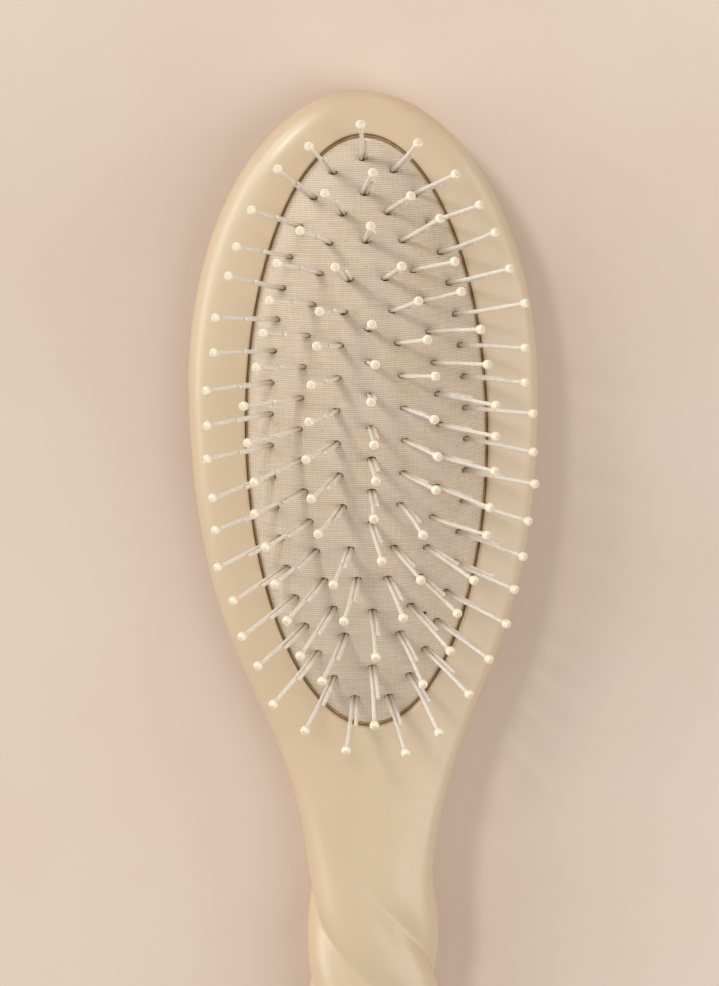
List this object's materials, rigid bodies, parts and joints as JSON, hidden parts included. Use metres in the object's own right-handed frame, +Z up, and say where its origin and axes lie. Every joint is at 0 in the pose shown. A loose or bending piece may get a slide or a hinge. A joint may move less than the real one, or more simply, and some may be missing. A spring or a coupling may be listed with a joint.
{
  "type": "detangling brush",
  "caption": "Oval cushion hairbrush: one-piece body with a twisted handle, and a domed, cloth-faced air cushion that carries folded nylon pins with ball tips",
  "frame": {"origin": "Middle of the surface that the brush rests on, lying on its back: the middle of its box in X and Y, at the bottom in Z", "axes": "+Z up, along the pins; +Y along the brush towards the head's top end; +X to the right seen from the pin side with the head up"},
  "size_m": [0.0698, 0.236, 0.043],
  "materials": {
    "body": "satin cream, fine moulded surface",
    "rubber": "matt dark olive brown",
    "facing": "finely woven, pale grey beige",
    "nylon": "milky translucent filament",
    "ball": "satin cream resin",
    "steel": "bright drawn"
  },
  "bodies": {
    "body": {"brush_body": "body", "cushion_membrane": "rubber", "cushion_fabric": "facing"},
    "centre_row": {"centre_filaments": "nylon", "centre_balls": "ball", "centre_anchors": "steel"},
    "third_ring": {"third_left_filaments": "nylon", "third_left_balls": "ball", "third_left_anchors": "steel", "third_right_filaments": "nylon", "third_right_balls": "ball", "third_right_anchors": "steel"},
    "second_ring": {"second_left_filaments": "nylon", "second_left_balls": "ball", "second_left_anchors": "steel", "second_right_filaments": "nylon", "second_right_balls": "ball", "second_right_anchors": "steel"},
    "outer_ring": {"outer_left_filaments": "nylon", "outer_left_balls": "ball", "outer_left_anchors": "steel", "outer_right_filaments": "nylon", "outer_right_balls": "ball", "outer_right_anchors": "steel"}
  },
  "joints": [
    {"name": "second_ring_press", "type": "slide", "parent": "body", "child": "second_ring", "axis": [0, 0, -1], "range_m": [0, 0.0018], "stiffness_N_per_m": 500, "deforming": ["cushion_membrane", "cushion_fabric"]},
    {"name": "centre_row_press", "type": "slide", "parent": "body", "child": "centre_row", "axis": [0, 0, -1], "range_m": [0, 0.00306], "stiffness_N_per_m": 300},
    {"name": "third_ring_press", "type": "slide", "parent": "body", "child": "third_ring", "axis": [0, 0, -1], "range_m": [0, 0.00252], "stiffness_N_per_m": 400},
    {"name": "outer_ring_press", "type": "slide", "parent": "body", "child": "outer_ring", "axis": [0, 0, -1], "range_m": [0, 0.0009], "stiffness_N_per_m": 500}
  ],
  "couplings": [
    {"joint": "centre_row_press", "follows": "second_ring_press", "ratio": 1.7},
    {"joint": "third_ring_press", "follows": "second_ring_press", "ratio": 1.4},
    {"joint": "outer_ring_press", "follows": "second_ring_press", "ratio": 0.5}
  ]
}
